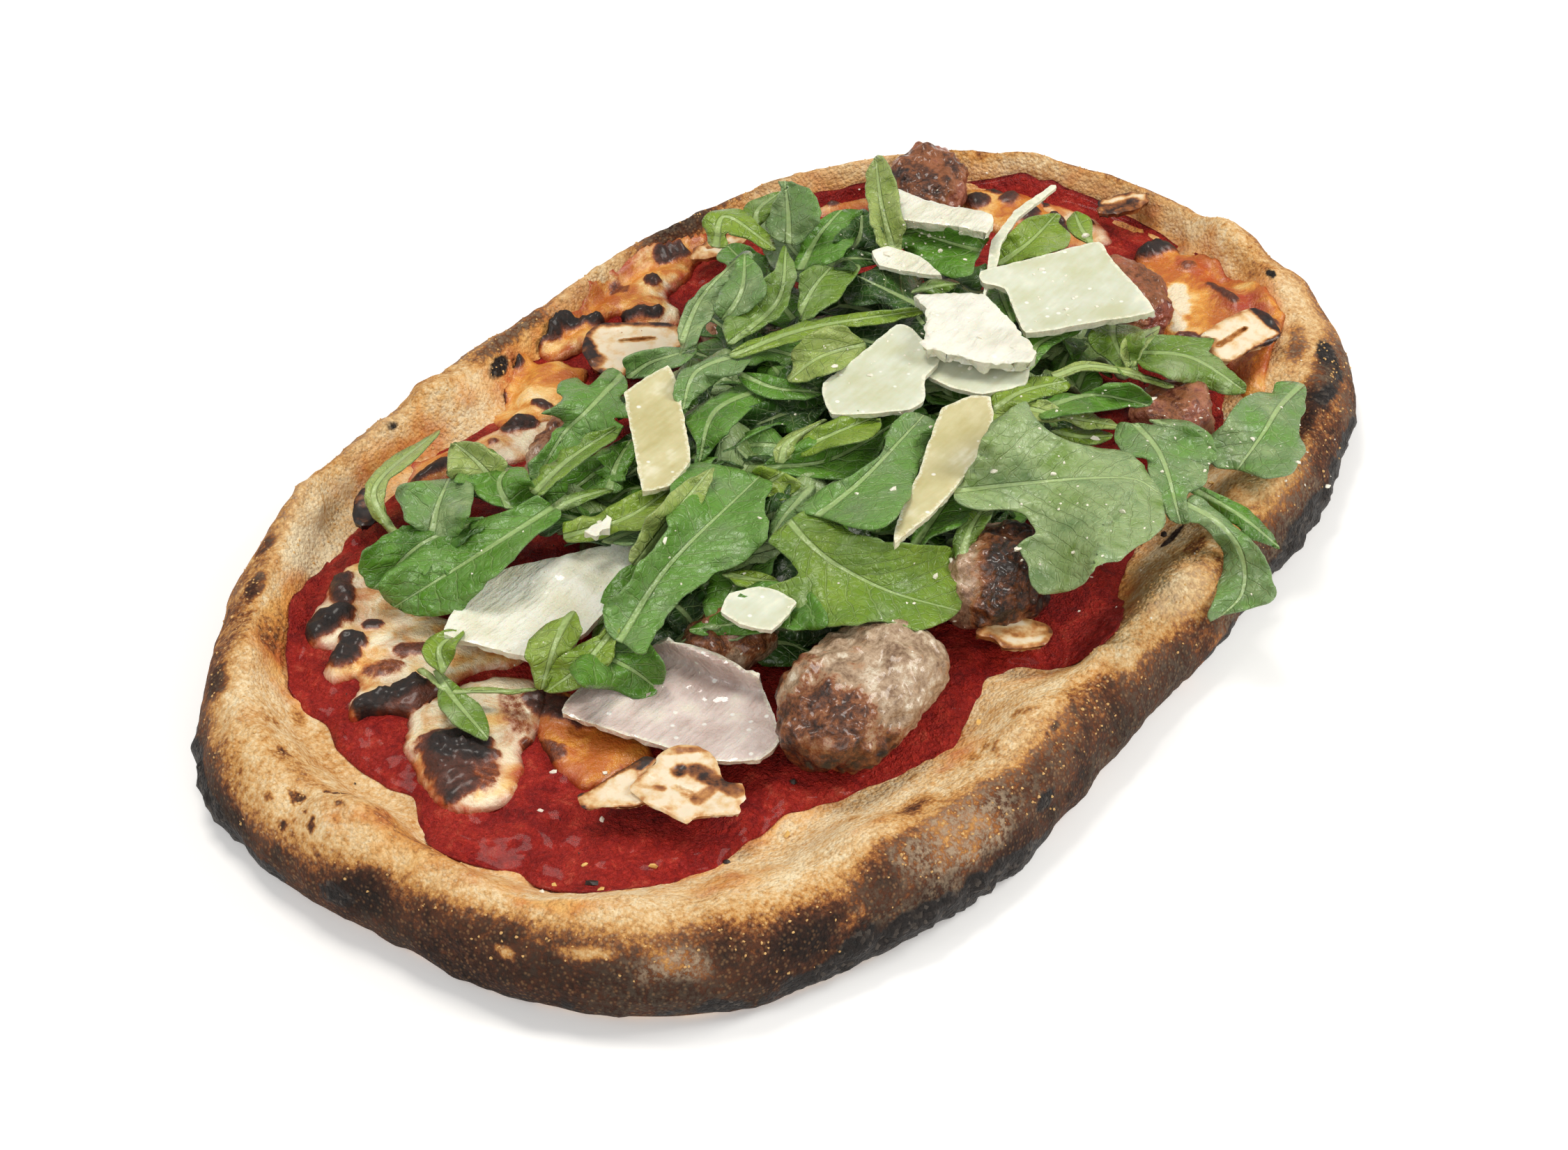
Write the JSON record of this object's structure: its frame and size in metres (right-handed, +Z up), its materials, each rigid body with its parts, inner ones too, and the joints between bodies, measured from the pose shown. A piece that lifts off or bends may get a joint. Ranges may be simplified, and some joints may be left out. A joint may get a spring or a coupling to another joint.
{
  "type": "pinsa",
  "caption": "Oval baked pinsa with a puffed charred rim, tomato sauce, melted cheese, sausage pieces, garlic slices and a heap of rocket leaves with hard-cheese shavings.",
  "frame": {"origin": "middle of the crust's flat base, under the middle of the bounding box", "axes": "+X along the oval's length, towards the end with the large flat shaving; +Y across it; +Z up out of the toppings"},
  "size_m": [0.3204, 0.2047, 0.0469],
  "materials": {
    "baked_dough": "matte, floury and charred in spots",
    "tomato_sauce": "wet",
    "melted_cheese": "oily",
    "sausage": "satin, browned",
    "garlic": "satin",
    "rocket": "satin, fresh",
    "hard_cheese": "satin"
  },
  "bodies": {
    "root": {"cheese_back": "melted_cheese", "cheese_far_left": "melted_cheese", "cheese_far_side": "melted_cheese", "cheese_left_far": "melted_cheese", "cheese_left_front": "melted_cheese", "cheese_left_near": "melted_cheese", "cheese_right": "melted_cheese", "crust": "baked_dough", "garlic_far": "garlic", "garlic_far_burnt": "garlic", "garlic_far_right": "garlic", "garlic_front": "garlic", "garlic_left_lower": "garlic", "garlic_left_upper": "garlic", "garlic_right": "garlic", "garlic_right_end": "garlic", "rocket_heap": "rocket", "rocket_leaf_right": "rocket", "rocket_sprig_left": "rocket", "sausage_back": "sausage", "sausage_far_left": "sausage", "sausage_far_middle": "sausage", "sausage_front_left": "sausage", "sausage_front_middle": "sausage", "sausage_front_right": "sausage", "sausage_left": "sausage", "sausage_left_middle": "sausage", "sausage_middle": "sausage", "sausage_right": "sausage", "shaving_back_sliver": "hard_cheese", "shaving_back_thick": "hard_cheese", "shaving_back_thin": "hard_cheese", "shaving_far_strip": "hard_cheese", "shaving_front_wedge": "hard_cheese", "shaving_left": "hard_cheese", "shaving_left_bit": "hard_cheese", "shaving_left_melted": "hard_cheese", "shaving_left_small": "hard_cheese", "shaving_middle": "hard_cheese", "shaving_middle_thick": "hard_cheese", "shaving_middle_thin": "hard_cheese", "shaving_right": "hard_cheese", "tomato_sauce": "tomato_sauce"}
  },
  "joints": []
}
